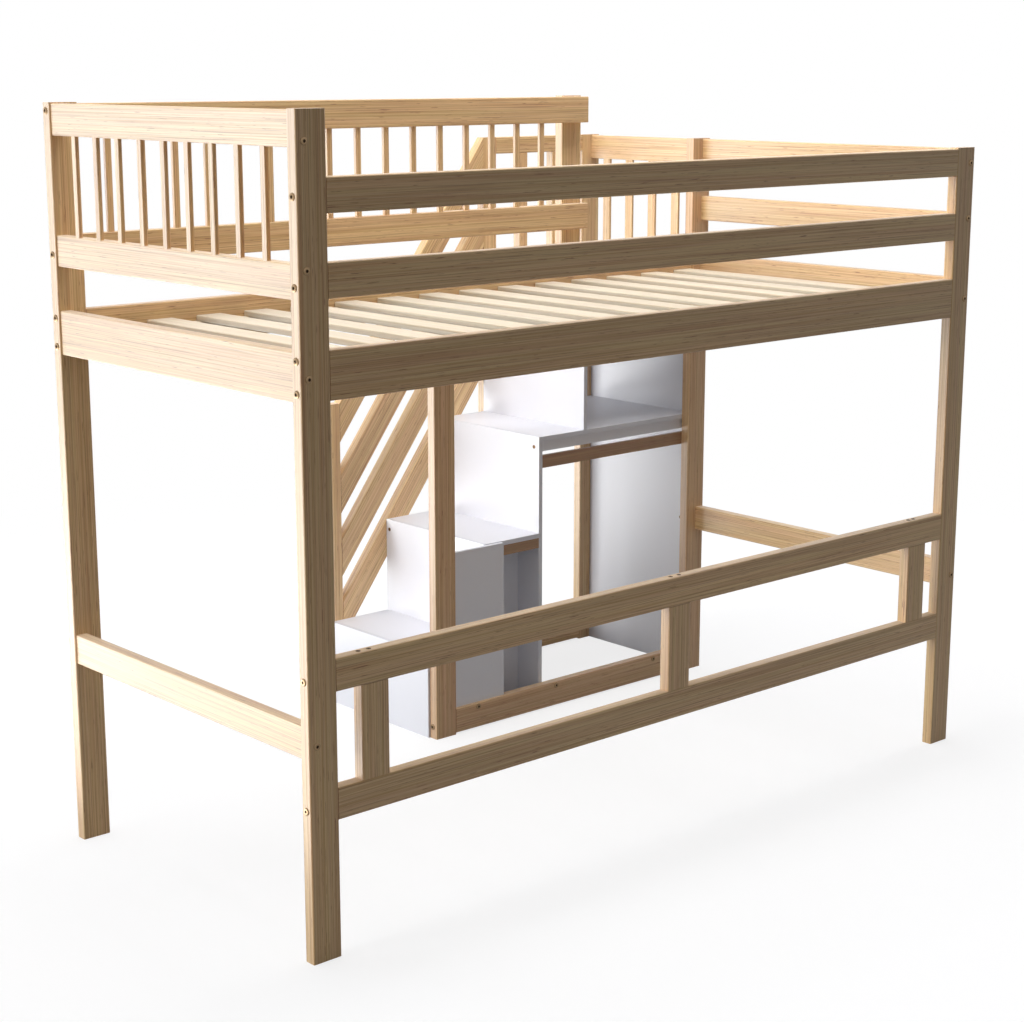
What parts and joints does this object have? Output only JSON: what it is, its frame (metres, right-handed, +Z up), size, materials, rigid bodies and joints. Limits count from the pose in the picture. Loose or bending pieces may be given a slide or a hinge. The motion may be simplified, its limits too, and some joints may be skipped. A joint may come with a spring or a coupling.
{
  "type": "loft bed with storage stairs",
  "caption": "Wooden loft bed with spindled guards and a slatted deck, reached by white box steps with drawers, a shelf and an open wardrobe bay.",
  "frame": {"origin": "on the floor under the middle of the whole piece, bed and stair together", "axes": "+X along the bed towards the stair's closed end, +Y from the bed's near side towards the stair's outer side, +Z up"},
  "size_m": [2, 1.321, 1.61],
  "materials": {
    "pine": "clear satin lacquer on planed pine",
    "slat_pine": "planed, unfinished",
    "brown_wood": "planed, brown",
    "white_board": "white melamine facing, satin"
  },
  "bodies": {
    "frame": {"near_left_post": "pine", "near_right_post": "pine", "far_left_post": "pine", "far_right_post": "pine", "far_middle_post": "pine", "entry_post": "pine", "near_bed_rail": "pine", "near_guard_middle_rail": "pine", "near_guard_top_rail": "pine", "low_guard_bottom_rail": "pine", "low_guard_top_rail": "pine", "low_guard_short_post_1": "pine", "low_guard_short_post_2": "pine", "low_guard_short_post_3": "pine", "left_low_rail": "pine", "left_bed_end_rail": "pine", "left_guard_panel": "pine", "right_low_rail": "pine", "right_bed_end_rail": "pine", "right_guard_middle_rail": "pine", "right_guard_top_rail": "pine", "far_low_rail": "pine", "far_bed_rail": "pine", "far_guard_panel": "pine", "slat_deck": "slat_pine", "step_1_side": "white_board", "step_1_tread": "white_board", "step_2_side": "white_board", "step_2_tread": "white_board", "step_3_side": "white_board", "shelf_board": "white_board", "platform_riser": "white_board", "platform_board": "white_board", "end_panel": "white_board", "shelf_apron": "white_board", "wardrobe_bar": "brown_wood", "step_2_bar": "brown_wood", "stair_back_panel": "white_board", "stair_lower_post": "pine", "stair_upper_post": "pine", "stair_corner_post": "pine", "stair_low_rail": "pine", "stair_toe_rail": "pine", "stair_top_rail": "pine", "stair_spindle_1": "pine", "stair_spindle_2": "pine", "stair_slanted_slat_1": "pine", "stair_slanted_slat_2": "pine", "stair_slanted_slat_3": "pine", "stair_slanted_slat_4": "pine", "stair_end_guard": "pine", "drawer_bay_back": "white_board", "drawer_bay_floor": "white_board", "drawer_bay_shelf": "white_board"},
    "lower_drawer": {"lower_drawer_box": "white_board", "lower_drawer_front": "white_board"},
    "upper_drawer": {"upper_drawer_box": "white_board", "upper_drawer_front": "white_board"}
  },
  "joints": [
    {"name": "lower_drawer_slide", "type": "slide", "parent": "frame", "child": "lower_drawer", "axis": [0, 1, 0], "range_m": [0, 0.24]},
    {"name": "upper_drawer_slide", "type": "slide", "parent": "frame", "child": "upper_drawer", "axis": [0, 1, 0], "range_m": [0, 0.24]}
  ]
}
